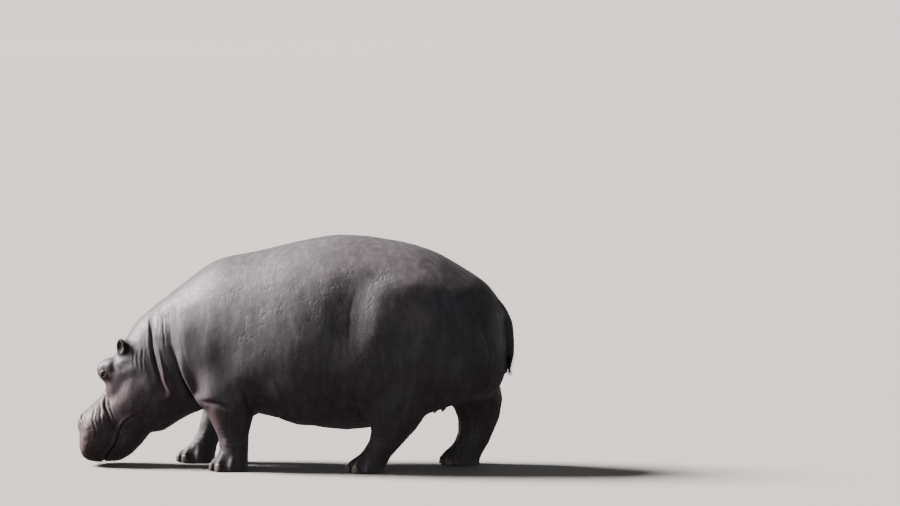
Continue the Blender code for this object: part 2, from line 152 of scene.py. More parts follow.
def fold(places, points, depth, width, roll=0.0, reach=2.6, strengths=(0, 1, 1, 1, 0)):
    """How far a skin fold moves each place: a crease along a path, with a soft roll to its left and
    a fainter one to its right. A negative depth makes a ridge. The strengths are spread evenly
    along the path."""
    path = curve_through(points, 0.03)
    moved = np.zeros(len(places))
    near = np.all((places > path.min(0) - 6 * width) & (places < path.max(0) + 6 * width), axis=1)
    signed, along = beside_path(places[near], path)
    fade = np.interp(along, np.linspace(0, 1, len(strengths)), strengths)
    shape = -depth * bell(signed, width)
    shape += roll * bell(signed - reach * width, 0.62 * reach * width)
    shape += 0.45 * roll * bell(signed + reach * width, 0.62 * reach * width)
    moved[near] = shape * fade
    return moved


def rough(points, size, seed=0.0, stretch=(1, 1, 1)):
    """Smooth noise from -1 to 1 with lumps about size across, longer where stretch is over 1."""
    scaled = points / (np.array(stretch) * size) + seed
    return np.array([noise.noise(p) for p in scaled.tolist()])


# ---------------------------------------------------------------- the camera and the light


def place_camera():
    """A long lens far off her left side, a little towards her tail and a little above her."""
    right = Vector((math.cos(CAMERA_TURN), math.sin(CAMERA_TURN), 0))
    level = math.cos(CAMERA_RISE)
    back = Vector((math.sin(CAMERA_TURN) * level, -math.cos(CAMERA_TURN) * level,
                   math.sin(CAMERA_RISE)))
    across, up, along = CAMERA_AIM
    aim = right * across + back.cross(right) * up + Vector((along, 0, 0))
    view = bpy.data.cameras.new("camera")
    view.sensor_width = 36
    view.lens = 186.0
    view.clip_end = 2000
    camera = bpy.data.objects.new("camera", view)
    camera.location = aim + back * CAMERA_DISTANCE
    camera.rotation_mode = "QUATERNION"
    camera.rotation_quaternion = (-back).to_track_quat("-Z", "Y")
    bpy.context.scene.collection.objects.link(camera)
    bpy.context.scene.camera = camera


def lamp(name, towards, strength, spread, colour):
    light = bpy.data.lights.new(name, "SUN")
    light.energy = strength
    light.angle = math.radians(spread)
    light.color = to_linear(colour)[:3]
    made = bpy.data.objects.new(name, light)
    made.rotation_mode = "QUATERNION"
    made.rotation_quaternion = Vector(towards).to_track_quat("Z", "Y")
    bpy.context.scene.collection.objects.link(made)


def studio():
    """A pale floor that runs into a pale wall all round, a soft key light from ahead and above, and
    a weak fill. Floor and wall throw no light on her, so her belly is darker than her back."""
    bpy.ops.mesh.primitive_circle_add(vertices=128, radius=STUDIO_RADIUS, fill_type="NGON")
    floor = bpy.context.object
    floor.name = "floor"
    floor.data.materials.append(painted_floor())
    bpy.ops.mesh.primitive_cylinder_add(vertices=128, radius=STUDIO_RADIUS - 1, depth=60,
                                        end_fill_type="NOTHING", location=(0, 0, 29.9))
    wall = bpy.context.object
    wall.name = "wall"
    wall.data.materials.append(lit_wall())
    wall.visible_shadow = wall.visible_diffuse = False
    floor.visible_diffuse = floor.visible_glossy = False
    bpy.ops.object.select_all(action="DESELECT")
    world = bpy.data.worlds.new("studio")
    world.use_nodes = True
    sky = world.node_tree.nodes["Background"]
    sky.inputs["Color"].default_value = to_linear("#e4e6ea")
    sky.inputs["Strength"].default_value = 0.17
    bpy.context.scene.world = world
    lamp("key", (-1.5, 0.20, 1.16), 25.0, 24, "#fff8f4")
    lamp("fill", (-0.4, -1.0, 0.12), 0.50, 60, "#f6f2f4")


# ---------------------------------------------------------------- materials


def to_linear(code):
    """A hex sRGB colour as linear red, green, blue and alpha."""
    parts = [int(code[k:k + 2], 16) / 255 for k in (1, 3, 5)]
    return (*[c / 12.92 if c <= 0.04045 else ((c + 0.055) / 1.055) ** 2.4 for c in parts], 1.0)


def new_material(name):
    made = bpy.data.materials.new(name)
    made.use_nodes = True
    return made, made.node_tree, made.node_tree.nodes["Principled BSDF"]


def add(tree, kind, values=None, links=None, **settings):
    """Adds one node with its settings, its input values and the sockets that feed it."""
    made = tree.nodes.new(kind)
    for key, value in settings.items():
        setattr(made, key, value)
    for key, value in (values or {}).items():
        made.inputs[key].default_value = value
    for key, source in (links or {}).items():
        tree.links.new(source, made.inputs[key])
    return made


def painted_floor():
    """Matt floor paint: pale and warm, with the faint clouding of a rolled coat."""
    made, tree, shader = new_material("floor_paint")
    place = add(tree, "ShaderNodeTexCoord")
    cloud = add(tree, "ShaderNodeTexNoise", {"Scale": 0.6, "Detail": 3.0},
                {"Vector": place.outputs["Object"]})
    tint = add(tree, "ShaderNodeMix", {6: to_linear("#8c8987"), 7: to_linear("#918e8c")},
               {0: cloud.outputs["Fac"]}, data_type="RGBA")
    tree.links.new(tint.outputs[2], shader.inputs["Base Color"])
    shader.inputs["Roughness"].default_value = 0.85
    return made


def lit_wall():
    """A studio wall lit from below by its own strip lights, as bright as the floor looks."""
    made, tree, shader = new_material("lit_wall")
    place = add(tree, "ShaderNodeTexCoord")
    cloud = add(tree, "ShaderNodeTexNoise", {"Scale": 0.01, "Detail": 2.0},
                {"Vector": place.outputs["Object"]})
    glow = add(tree, "ShaderNodeMix", {6: to_linear("#cec8c2"), 7: to_linear("#d0cac4")},
               {0: cloud.outputs["Fac"]}, data_type="RGBA")
    shader.inputs["Base Color"].default_value = to_linear("#000000")
    tree.links.new(glow.outputs[2], shader.inputs["Emission Color"])
    shader.inputs["Emission Strength"].default_value = 2.3
    shader.inputs["Roughness"].default_value = 1.0
    return made


def hippopotamus_hide():
    """Bare hippopotamus hide: thick, nearly hairless and satin where it is dry. It is slate grey on
    the back, brown-pink on the belly, in the folds and round the mouth, streaked down the sides,
    cracked all over into plates 5 to 14 mm across, and creased where it lies slack. Painted shade
    darkens it in its folds, ears and nostrils and near the floor."""
    made, tree, shader = new_material("hippopotamus_hide")
    place = add(tree, "ShaderNodeTexCoord").outputs["Object"]
    pink, shade, slack, lip = (
        add(tree, "ShaderNodeAttribute", attribute_name=name).outputs["Fac"]
        for name in ("pink", "shade", "slack", "lip")
    )

    def noise_of(size, detail, stretch=1.0):
        """Noise with lumps about size across, and stretch times as tall."""
        scaled = add(tree, "ShaderNodeMapping", {"Scale": (1 / size, 1 / size, 1 / size / stretch)},
                     {"Vector": place})
        return add(tree, "ShaderNodeTexNoise", {"Scale": 1.0, "Detail": detail, "Roughness": 0.6},
                   {"Vector": scaled.outputs[0]}).outputs["Fac"]

    def ramp(value, low, high, start, end, **settings):
        return add(tree, "ShaderNodeMapRange", {1: low, 2: high, 3: start, 4: end}, {0: value},
                   **settings).outputs[0]

    def blend(share, first, second, **settings):
        """Mixes two colours, each a hex code or a socket."""
        codes = {k: to_linear(c) for k, c in ((6, first), (7, second)) if isinstance(c, str)}
        sockets = {k: c for k, c in ((6, first), (7, second)) if not isinstance(c, str)}
        return add(tree, "ShaderNodeMix", codes, {0: share, **sockets}, data_type="RGBA",
                   **settings).outputs[2]

    # colour: slate to brown-pink, clouded at 300 mm, streaked at 45 mm and flecked at 20 mm
    cloud, streak, fleck = noise_of(0.30, 6.0), noise_of(0.045, 4.0, 3.5), noise_of(0.020, 5.0)
    slate = blend(cloud, "#3a373b", "#575258")
    rosy = blend(cloud, "#483a3c", "#5f4b4e")
    coat = blend(pink, slate, rosy)
    coat = blend(ramp(streak, 0.50, 0.75, 0.0, 0.45), coat, "#6f6a6c")
    coat = blend(ramp(streak, 0.48, 0.28, 0.0, 0.40), coat, "#2f2c2e")
    coat = blend(ramp(fleck, 0.52, 0.80, 0.0, 0.45), coat, "#2c282a")
    # painted shade: the shade mark darkens the hide towards near black in its folds, ears, nostril
    # slits and near the floor
    coat = blend(shade, coat, "#1b1717")
    tree.links.new(coat, shader.inputs["Base Color"])

    # pores: pits 12 mm apart on the lips, where the bristles stand
    pit = add(tree, "ShaderNodeTexVoronoi", {"Scale": 85.0}, {"Vector": place}).outputs["Distance"]
    pores = add(tree, "ShaderNodeMath", None, {0: ramp(pit, 0.12, 0.24, 1.0, 0.0), 1: lip},
                operation="MULTIPLY").outputs[0]

    # cracks: the edges of plates of 14 mm and 5 mm
    warp = add(tree, "ShaderNodeTexNoise", {"Scale": 18.0, "Detail": 3.0}, {"Vector": place})
    bent = add(tree, "ShaderNodeVectorMath", {"Scale": 0.045}, {0: warp.outputs["Color"]},
               operation="SCALE")
    swayed = add(tree, "ShaderNodeVectorMath", None, {0: place, 1: bent.outputs[0]},
                 operation="ADD")
    plates, small = (
        ramp(add(tree, "ShaderNodeTexVoronoi", {"Scale": scale}, {"Vector": swayed.outputs[0]},
                 feature="DISTANCE_TO_EDGE").outputs[0], 0.0, edge, 0.0, 1.0)
        for scale, edge in ((70.0, 0.09), (190.0, 0.13))
    )

    # slack creases: an upright net with meshes of 45 by 120 mm, drawn in some places only
    upright = add(tree, "ShaderNodeMapping", {"Scale": (22.0, 22.0, 8.5)},
                  {"Vector": swayed.outputs[0]})
    net = add(tree, "ShaderNodeTexVoronoi", {"Scale": 1.0}, {"Vector": upright.outputs[0]},
              feature="DISTANCE_TO_EDGE").outputs[0]
    some = ramp(noise_of(0.12, 2.0), 0.48, 0.66, 0.0, 1.0)
    some = add(tree, "ShaderNodeMath", None, {0: some, 1: slack}, operation="MULTIPLY").outputs[0]
    lines = ramp(net, 0.0, 0.17, 1.0, 0.0, interpolation_type="SMOOTHERSTEP")
    creases = add(tree, "ShaderNodeMath", None, {0: lines, 1: some},
                  operation="MULTIPLY").outputs[0]

    # relief: all of these, the streaks and a fine leathery grain
    relief = None
    for height, strength, distance in (
        (noise_of(0.003, 3.0), 0.25, 0.0006), (small, 0.25, 0.0005), (plates, 0.26, 0.0007),
        (streak, 0.30, 0.006), (creases, 0.55, -0.0018), (pores, 0.60, -0.0014),
    ):
        before = {"Normal": relief} if relief else {}
        relief = add(tree, "ShaderNodeBump", {"Strength": strength, "Distance": distance},
                     {"Height": height, **before}).outputs[0]
    tree.links.new(relief, shader.inputs["Normal"])

    # finish: satin, duller where it is flecked and in its folds and ears
    dull = add(tree, "ShaderNodeMath", {1: 0.32}, {0: shade, 2: ramp(fleck, 0.3, 0.7, 0.43, 0.60)},
               operation="MULTIPLY_ADD")
    tree.links.new(dull.outputs[0], shader.inputs["Roughness"])
    shader.inputs["Specular IOR Level"].default_value = 0.32
    shader.inputs["IOR"].default_value = 1.45
    return made


def wet_eye():
    """A hippopotamus's eye: a dark brown iris round a wide pupil, a dull red-brown white, wet."""
    made, tree, shader = new_material("wet_eye")
    place = add(tree, "ShaderNodeTexCoord").outputs["Object"]
    gaze = add(tree, "ShaderNodeAttribute", attribute_name="gaze").outputs["Fac"]
    fibres = add(tree, "ShaderNodeTexNoise", {"Scale": 600.0, "Detail": 3.0}, {"Vector": place})
    iris = add(tree, "ShaderNodeMix", {6: to_linear("#24140c"), 7: to_linear("#4a2c18")},
               {0: fibres.outputs["Fac"]}, data_type="RGBA")
    white = add(tree, "ShaderNodeMix", {6: to_linear("#4c2f28"), 7: to_linear("#7a5348")},
                {0: fibres.outputs["Fac"]}, data_type="RGBA")
    rim = add(tree, "ShaderNodeMapRange", {1: 0.62, 2: 0.70, 3: 0.0, 4: 1.0}, {0: gaze})
    ball = add(tree, "ShaderNodeMix", None,
               {0: rim.outputs[0], 6: iris.outputs[2], 7: white.outputs[2]}, data_type="RGBA")
    edge = add(tree, "ShaderNodeMapRange", {1: 0.30, 2: 0.34, 3: 0.0, 4: 1.0}, {0: gaze})
    pupil = add(tree, "ShaderNodeMix", {6: to_linear("#050403")},
                {0: edge.outputs[0], 7: ball.outputs[2]}, data_type="RGBA")
    tree.links.new(pupil.outputs[2], shader.inputs["Base Color"])
    shader.inputs["Roughness"].default_value = 0.06
    shader.inputs["IOR"].default_value = 1.376
    return made


def toenail_horn():
    """Blunt toenail horn: grey-brown, streaked from root to tip every 2 mm, paler where worn."""
    made, tree, shader = new_material("toenail_horn")
    place = add(tree, "ShaderNodeTexCoord").outputs["Object"]
    squeezed = add(tree, "ShaderNodeMapping", {"Scale": (500.0, 500.0, 60.0)}, {"Vector": place})
    streaks = add(tree, "ShaderNodeTexNoise", {"Scale": 1.0, "Detail": 4.0, "Roughness": 0.6},
                  {"Vector": squeezed.outputs[0]})
    horn = add(tree, "ShaderNodeMix", {6: to_linear("#2f2925"), 7: to_linear("#5b5148")},
               {0: streaks.outputs["Fac"]}, data_type="RGBA")
    height = add(tree, "ShaderNodeSeparateXYZ", None, {0: place})
    worn = add(tree, "ShaderNodeMapRange", {1: 0.022, 2: 0.006, 3: 0.0, 4: 0.55},
               {0: height.outputs[2]})
    tipped = add(tree, "ShaderNodeMix", {7: to_linear("#857a6c")},
                 {0: worn.outputs[0], 6: horn.outputs[2]}, data_type="RGBA")
    ridged = add(tree, "ShaderNodeBump", {"Strength": 0.4, "Distance": 0.0006},
                 {"Height": streaks.outputs["Fac"]})
    tree.links.new(tipped.outputs[2], shader.inputs["Base Color"])
    tree.links.new(ridged.outputs[0], shader.inputs["Normal"])
    shader.inputs["Roughness"].default_value = 0.42
    return made


def stiff_bristle(name, dark, pale):
    """Stiff keratin bristle: dull, each one a little darker or paler than the next."""
    made, tree, shader = new_material(name)
    place = add(tree, "ShaderNodeTexCoord").outputs["Object"]
    change = add(tree, "ShaderNodeTexNoise", {"Scale": 150.0, "Detail": 2.0}, {"Vector": place})
    tint = add(tree, "ShaderNodeMix", {6: to_linear(dark), 7: to_linear(pale)},
               {0: change.outputs["Fac"]}, data_type="RGBA")
    tree.links.new(tint.outputs[2], shader.inputs["Base Color"])
    shader.inputs["Roughness"].default_value = 0.65
    shader.inputs["Specular IOR Level"].default_value = 0.2
    return made


# ---------------------------------------------------------------- the skin


def skin_blank():
    """The nodes of flesh as one closed surface. The eyes go in too and fill their sockets."""
    parts = []
    for name in (*FLESH, "eye_left", "eye_right"):
        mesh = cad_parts[name].data.copy()
        part = bpy.data.objects.new("flesh_" + name, mesh)
        bpy.context.scene.collection.objects.link(part)
        parts.append(part)
        part.select_set(True)
    bpy.context.view_layer.objects.active = parts[0]
    bpy.ops.object.join()
    skin = bpy.context.object
    skin.name = skin.data.name = "skin"
    bpy.ops.object.mode_set(mode="EDIT")
    bpy.ops.mesh.select_all(action="SELECT")
    bpy.ops.mesh.remove_doubles(threshold=0.00002)
    bpy.ops.transform.shrink_fatten(value=SWELL)
    bpy.ops.object.mode_set(mode="OBJECT")
    apply(skin, "REMESH", mode="VOXEL", voxel_size=SKIN_GRAIN, adaptivity=0.0)
    return skin


def apply(obj, kind, **settings):
    modifier = obj.modifiers.new(kind.title(), kind)
    for key, value in settings.items():
        setattr(modifier, key, value)
    bpy.context.view_layer.objects.active = obj
    bpy.ops.object.modifier_apply(modifier=modifier.name)


def read(obj, what="co"):
    values = np.empty(len(obj.data.vertices) * 3, np.float32)
    obj.data.vertices.foreach_get(what, values)
    return values.reshape(-1, 3).astype(float)


def write(obj, points):
    obj.data.vertices.foreach_set("co", points.astype(np.float32).ravel())
    obj.data.update()


def feet():
    """For each foot the middle of its sole, and its nails' names with the way each faces."""
    made = []
    for leg in (name[4:] for name in FLESH if name.startswith("leg")):
        points = read(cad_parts["leg_" + leg])
        sole = Vector(points[points[:, 2] < 0.005].mean(axis=0))
        nails = {}
        for k in range(1, 5):
            ahead = middle(f"nail_{leg}_{k}") - sole
            ahead.z = 0
            nails[f"nail_{leg}_{k}"] = ahead.normalized()
        made.append((sole, nails))
    return made


def head_places(points):
    """Points in the head's own coordinates: forward, side, down."""
    offset = points - np.array(OCCIPUT)
    return np.stack(
        [offset @ np.array(HEAD_FORWARD), offset[:, 1], offset @ np.array(HEAD_DOWN)], axis=1
    )


def group(obj, name, weights):
    """Makes a vertex group whose weights come from an array, in tenths."""
    made = obj.vertex_groups.new(name=name)
    for level in range(1, 11):
        chosen = np.nonzero(np.round(weights * 10) == level)[0]
        made.add(chosen.tolist(), level / 10, "REPLACE")


def even_out(skin):
    """Smooths the solids' facets away: most on the trunk, less on the legs, least on head, tail and
    feet. What two rounds of smoothing take off beyond one is put back, so the large forms stay."""
    points = read(skin)
    head = ease(points[:, 0], -0.86, -0.98)
    feet = ease(points[:, 2], 0.24, 0.15) * ease(points[:, 0], -0.95, -0.85)
    tail = ease(points[:, 0], 1.325, 1.35) * ease(points[:, 2], 1.0, 0.94)
    fine = np.maximum.reduce([head, feet, tail])
    barrel = ease(points[:, 2], 0.40, 0.62) * ease(points[:, 0], -0.72, -0.50) * (1 - tail)
    for name, share in (("fine", fine), ("coarse", 1 - fine), ("barrel", barrel)):
        group(skin, name, share)
        apply(skin, "SMOOTH", factor=0.5, iterations=SMOOTHING[name], vertex_group=name)
        once = read(skin)
        apply(skin, "SMOOTH", factor=0.5, iterations=SMOOTHING[name], vertex_group=name)
        write(skin, 2 * once - read(skin))
    skin.vertex_groups.clear()


def divide(skin, chosen):
    """Splits each face whose middle is chosen into four."""
    bm = bmesh.new()
    bm.from_mesh(skin.data)
    middles = np.array([face.calc_center_median() for face in bm.faces])
    bm.free()
    skin.data.polygons.foreach_set("select", chosen(middles))
    bpy.context.view_layer.objects.active = skin
    bpy.ops.object.mode_set(mode="EDIT")
    bpy.ops.mesh.select_mode(type="FACE")
    bpy.ops.mesh.subdivide(number_cuts=1)
    bpy.ops.object.mode_set(mode="OBJECT")


FEET = feet()

# Folds of the hide, seen from the side as paths of (x, z). Most run from the back down, and what
# lies behind such a path is on its left.
NECK_FOLD = ((-0.935, 1.075), (-0.922, 0.961), (-0.912, 0.852), (-0.890, 0.730), (-0.864, 0.630),
             (-0.832, 0.530), (-0.800, 0.440))
THROAT_FOLD = ((-0.868, 0.830), (-0.842, 0.740), (-0.822, 0.660), (-0.797, 0.570), (-0.771, 0.480),
               (-0.752, 0.410))
SHOULDER_FOLD = ((-0.790, 1.100), (-0.777, 0.948), (-0.764, 0.819), (-0.732, 0.703),
                 (-0.693, 0.600), (-0.642, 0.503), (-0.609, 0.439), (-0.570, 0.360))
NAPE_CREASES = (
    ((-1.030, 0.775), (-1.020, 0.725), (-1.022, 0.690), (-1.008, 0.640)),
    ((-0.992, 0.750), (-0.994, 0.705), (-0.980, 0.650)),
    ((-0.958, 0.790), (-0.962, 0.700), (-0.955, 0.620)),
    ((-0.868, 1.060), (-0.858, 0.970), (-0.852, 0.880)),
    ((-0.822, 0.980), (-0.816, 0.880), (-0.800, 0.790)),
)
FLANK_EDGE = ((0.482, 1.330), (0.450, 1.206), (0.420, 1.077), (0.408, 0.948), (0.414, 0.819),
              (0.436, 0.690))
HIP_RIDGE = ((1.180, 1.010), (1.060, 1.130), (0.900, 1.190), (0.720, 1.210), (0.560, 1.225))
ELBOW_CREASE = ((-0.290, 0.560), (-0.262, 0.460), (-0.238, 0.390), (-0.230, 0.330))
ARM_FOLD = ((-0.590, 0.452), (-0.520, 0.448), (-0.430, 0.438), (-0.330, 0.385))
GROIN_CREASE = ((0.470, 0.620), (0.452, 0.500), (0.470, 0.400), (0.500, 0.330))
TAIL_CREASE = ((1.180, 1.120), (1.225, 1.000), (1.262, 0.860), (1.290, 0.720))

# Lines of the head, in the plane of forward and down.
MOUTH = ((0.930, 0.262), (0.860, 0.268), (0.790, 0.284), (0.700, 0.294), (0.630, 0.280),
         (0.575, 0.268), (0.515, 0.285), (0.450, 0.318), (0.400, 0.345))
PAD_CREASE = ((0.448, 0.035), (0.465, 0.060), (0.503, 0.084), (0.535, 0.111), (0.556, 0.152),
              (0.590, 0.197), (0.618, 0.255))
PAD_WRINKLES = (
    ((0.510, 0.035), (0.532, 0.062), (0.556, 0.094), (0.602, 0.128), (0.645, 0.170)),
    ((0.560, 0.030), (0.588, 0.066), (0.634, 0.086), (0.664, 0.124), (0.705, 0.160),
     (0.750, 0.190)),
    ((0.480, 0.110), (0.520, 0.150), (0.560, 0.205)),
)
BROW_RIDGE = ((0.345, 0.020), (0.310, 0.000), (0.270, -0.006), (0.228, 0.002), (0.190, 0.022))
CHEEK_BONE = ((0.300, 0.040), (0.255, 0.036), (0.210, 0.060), (0.170, 0.100))
NOSTRIL = ((0.640, 0.094, -0.006), (0.668, 0.112, 0.006), (0.694, 0.128, 0.030),
           (0.704, 0.132, 0.060))


def ledge(places, points, ahead, behind, depth, height, start=0.12, end=0.12):
    """A hollow that deepens up to a path and a swelling that rises behind it. They grow over the
    first share of the path and end over the last."""
    path = curve_through(points, 0.03)
    signed, along = beside_path(places, path)
    fade = ease(along, 0, start) * ease(along, 1, 1 - end)
    front = -depth * ease(signed, -ahead, 0)
    back = -depth + (depth + height) * ease(signed, 0, behind)
    back = np.where(signed > behind, height * ease(signed, 3.2 * behind, behind), back)
    return np.where(signed < 0, front, back) * fade


def mound(places, centre, size, lean=0.0):
    """A soft oval swelling of height 1: its half sizes along and up, and its lean in degrees."""
    turn = math.radians(lean)
    offset = places - np.array(centre)
    along = offset[:, 0] * math.cos(turn) + offset[:, 1] * math.sin(turn)
    across = offset[:, 1] * math.cos(turn) - offset[:, 0] * math.sin(turn)
    return np.exp(-((along / size[0]) ** 2) - (across / size[1]) ** 2)


def body_relief(points):
    """The large folds and swellings of neck, shoulder, flank and rump."""
    sway = 0.007 * rough(points, 0.13, 3.1)
    places = np.stack([points[:, 0] + sway, points[:, 2]], axis=1)
    side = ease(np.abs(points[:, 1]), 0.10, 0.24)
    low = ease(points[:, 2], 0.85, 0.60)
    moved = ledge(places, FLANK_EDGE, 0.20, 0.19, 0.024, 0.012, 0.35, 0.38) * side
    moved += fold(places, HIP_RIDGE, -0.026, 0.080, strengths=(0, 1, 1, 1, 0.6, 0)) * side
    moved += ledge(places, SHOULDER_FOLD, 0.07, 0.07, 0.012, 0.014)
    moved += ledge(places, SHOULDER_FOLD, 0.05, 0.030, 0.010, 0.028) * low
    moved += ledge(places, NECK_FOLD, 0.09, 0.045, 0.020, 0.008) * ease(points[:, 2], 1.05, 0.8)

    # the hollow behind the shoulder, the shoulder blade, the ribs and the throat
    moved -= 0.022 * mound(places, (-0.400, 0.690), (0.105, 0.200), 18) * side
    moved += 0.010 * mound(places, (-0.640, 0.780), (0.060, 0.200), 12) * side
    moved += 0.012 * mound(places, (-0.060, 0.830), (0.270, 0.190), 20) * side
    moved -= 0.012 * mound(places, (-0.960, 0.520), (0.070, 0.150), 20)
    return moved


def body_folds(points):
    """The creases of neck, shoulder, elbow, groin and tail."""
    sway = 0.007 * rough(points, 0.13, 3.1) + 0.003 * rough(points, 0.035, 2.2)
    places = np.stack([points[:, 0] + sway, points[:, 2]], axis=1)
    moved = fold(places, NECK_FOLD, 0.018, 0.009, 0.009, 2.6, (0, 0.3, 0.8, 1, 1, 0.8, 0.3, 0))
    moved += fold(places, THROAT_FOLD, -0.010, 0.010, 0.0, 2.6, (0, 0.5, 1, 1, 1, 0.5, 0))
    moved += fold(places, SHOULDER_FOLD, 0.016, 0.010, 0.008, 2.6,
                  (0, 0.1, 0.15, 0.3, 0.6, 1, 1, 0.3))
    moved += fold(places, FLANK_EDGE, 0.003, 0.010, 0.001, 2.4, (0, 0, 0.5, 1, 0.4, 0))
    for crease in NAPE_CREASES:
        moved += fold(places, crease, 0.0035, 0.0055, 0.002, 2.2)
    flanks = ease(np.abs(points[:, 1]), 0.10, 0.20)
    moved += fold(places, ELBOW_CREASE, 0.010, 0.011, 0.005, 2.4) * flanks
    moved += fold(places, ARM_FOLD, 0.008, 0.016, 0.001, 2.4) * flanks
    moved += fold(places, GROIN_CREASE, 0.006, 0.014, 0.004, 2.4) * flanks
    moved += fold(places, TAIL_CREASE, 0.007, 0.018, 0.002, 2.4)
    return moved


def head_relief(points):
    """Lips, the pads behind them, brows, cheekbones and the hollows round the eyes."""
    head = head_places(points)
    sway = 0.004 * rough(points, 0.06, 5.7) + 0.0015 * rough(points, 0.02, 2.4)
    side_on = np.stack([head[:, 0], head[:, 2] + sway], axis=1)
    mirrored = np.abs(head[:, 1])
    flat = ease(mirrored, 0.08, 0.12)
    moved = fold(side_on, MOUTH, 0.011, 0.0055, 0.007, 2.8, (1, 1, 1, 1, 0.8, 0.5, 0.3, 0))
    moved += fold(side_on, PAD_CREASE, 0.014, 0.007, 0.007, 2.4, (0, 0.8, 1, 1, 0.6, 0.4, 0.2))
    for wrinkle in PAD_WRINKLES:
        moved += fold(side_on, wrinkle, 0.0045, 0.0055, 0.003, 2.0)
    moved += fold(side_on, CHEEK_BONE, -0.005, 0.020) * ease(mirrored, 0.10, 0.14)
    brow = fold(side_on, BROW_RIDGE, -0.016, 0.034, strengths=(0.6, 1, 1, 0.6, 0))
    moved += brow * ease(mirrored, 0.06, 0.10)

    # under the eye, the cheekbone, the cheek and the pit behind the eye
    moved += 0.002 * mound(side_on, (0.375, 0.075), (0.050, 0.045)) * flat
    moved += 0.015 * mound(side_on, (0.262, 0.105), (0.072, 0.070)) * flat
    moved += 0.012 * mound(side_on, (0.420, 0.165), (0.085, 0.110), 60) * flat
    moved -= 0.004 * mound(side_on, (0.262, 0.080), (0.014, 0.020)) * flat
    return moved * ease(head[:, 0], -0.1, 0.0)


def nostrils(points):
    """Two crescent slits on the outer slope of the nostril mounds, with a raised rim."""
    head = head_places(points)
    head[:, 1] = np.abs(head[:, 1])
    near = np.linalg.norm(head - np.array(NOSTRIL[1]), axis=1) < 0.12
    moved = np.zeros(len(points))
    path = curve_through(NOSTRIL, 0.006)
    gaps = np.linalg.norm(head[near][:, None, :] - path[None, :, :], axis=2)
    share = gaps.argmin(axis=1) / (len(path) - 1)
    width = 0.0045 + 0.0035 * np.sin(math.pi * share)
    gap = gaps.min(axis=1)
    moved[near] = -0.020 * np.exp(-((gap / width) ** 4)) + 0.005 * bell(gap - 0.014, 0.007)
    return moved


def wrinkles(points):
    """Fine skin waves: along the neck's folds, round the ankles and over the muzzle's pads."""
    head = head_places(points)
    places = np.stack([points[:, 0], points[:, 2]], axis=1)
    signed, _ = beside_path(places, curve_through(SHOULDER_FOLD, 0.05))
    lively = 0.5 + 0.5 * rough(points, 0.10, 9.0)
    bend = rough(points, 0.09, 1.7, (1, 1, 2.5))
    neck = ease(signed, -0.30, -0.16) * ease(signed, 0.14, 0.04) * ease(points[:, 2], 1.12, 0.95)
    waves = 1 - np.abs(np.sin(math.pi * (signed / 0.034 + 0.9 * bend)))
    moved = -0.0034 * neck * lively * waves**3
    shins = ease(points[:, 2], 0.10, 0.14) * ease(points[:, 2], 0.34, 0.22)
    shins *= ease(points[:, 0], -0.9, -0.8)
    rings = 1 - np.abs(np.sin(math.pi * (points[:, 2] / 0.030 + 0.5 * rough(points, 0.10, 4.2))))
    moved -= 0.0035 * shins * lively * rings**3
    pads = ease(head[:, 0], 0.52, 0.62) * ease(head[:, 2], 0.0, 0.06)
    moved += pads * (0.0018 * rough(points, 0.017, 2.0) + 0.0030 * rough(points, 0.045, 2.9))
    moved += 0.0022 * rough(points, 0.16, 6.0) + 0.0009 * rough(points, 0.05, 7.0)
    return moved


def eye_axes(side):
    """An eye's own directions: out of the socket, along the slit to the nose, up to the brow."""
    out = (HEAD_FORWARD * 0.28 + Vector((0, side, 0)) - HEAD_DOWN * 0.30).normalized()
    brow = (-HEAD_DOWN - out * out.dot(-HEAD_DOWN)).normalized()
    return out, brow.cross(out) * side, brow


def shape_lids(points):
    """Opens an almond slit over each eye between two thick lids, with wrinkles round them."""
    for side, centre in EYES.items():
        out, ahead, brow = (np.array(axis) for axis in eye_axes(side))
        offset = points - np.array(centre)
        reach = np.linalg.norm(offset, axis=1)
        near = np.nonzero((reach < 0.085) & (offset @ out > 0))[0]
        offset, reach = offset[near], reach[near]
        facing = offset / reach[:, None]
        tilt = np.arccos(np.clip(facing @ out, -1, 1))
        level = np.hypot(facing @ ahead, facing @ brow) + 1e-9
        along, rise = facing @ ahead / level * tilt, facing @ brow / level * tilt + 0.04
        slit = 0.60 * ((np.abs(along / 1.00) ** 1.7 + np.abs(rise / 0.60) ** 1.7) ** (1 / 1.7) - 1)
        lid = EYE_RADIUS + 0.0028 + 0.0036 * ease(slit, 0, 0.12) + 0.0014 * ease(rise, 0, 0.3)
        lid -= 0.0024 * bell(slit - 0.30, 0.06)
        rest = np.maximum(ease(slit, 0.30, 0.75), ease(tilt, 1.10, 1.50))
        merged = lid + (reach - lid) * rest
        sway = 0.3 * rough(points[near], 0.03, 8.0)
        rings = 1 - np.abs(np.sin(math.pi * (reach / 0.0105 + sway)))
        worn = ease(reach, 0.030, 0.038) * ease(reach, 0.080, 0.060) * ease(tilt, 1.5, 1.2)
        merged -= 0.0018 * rings**3 * worn
        inside = EYE_RADIUS * 0.80
        shaped = merged + (inside - merged) * ease(slit, 0.03, -0.08)
        points[near] = np.array(centre) + facing * shaped[:, None]
    return points


